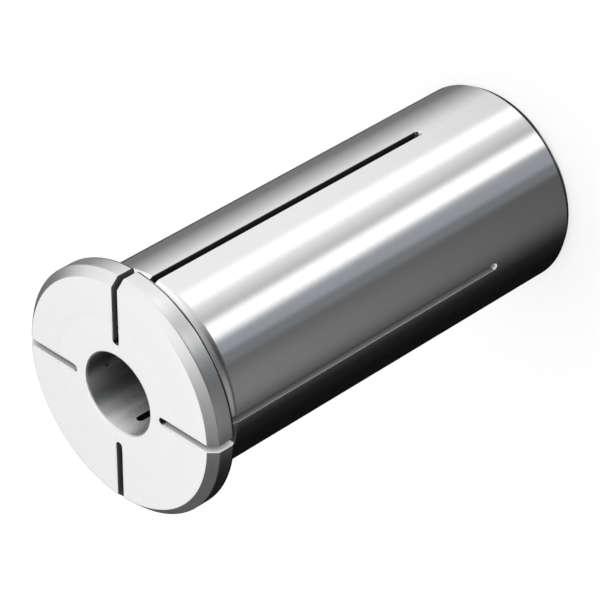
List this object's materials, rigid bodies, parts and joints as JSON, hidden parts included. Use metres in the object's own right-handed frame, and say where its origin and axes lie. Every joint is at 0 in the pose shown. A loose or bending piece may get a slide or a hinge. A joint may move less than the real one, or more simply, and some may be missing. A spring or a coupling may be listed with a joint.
{
  "type": "tool holder collet",
  "caption": "Straight slit reduction sleeve with a front flange, which a chuck squeezes on to a round tool shank.",
  "frame": {"origin": "centre of the plain back end face, which the sleeve stands on", "axes": "+Z along the sleeve's axis towards the flange and the mouth of the tool bore; the slits lie on +X, -X, +Y and -Y"},
  "size_m": [0.024, 0.024, 0.0486],
  "materials": {
    "ground_steel": "cylindrically ground shank and bore, finely turned flange and faces, soft broken edges"
  },
  "bodies": {
    "root": {"collet_sleeve": "ground_steel"}
  },
  "joints": []
}
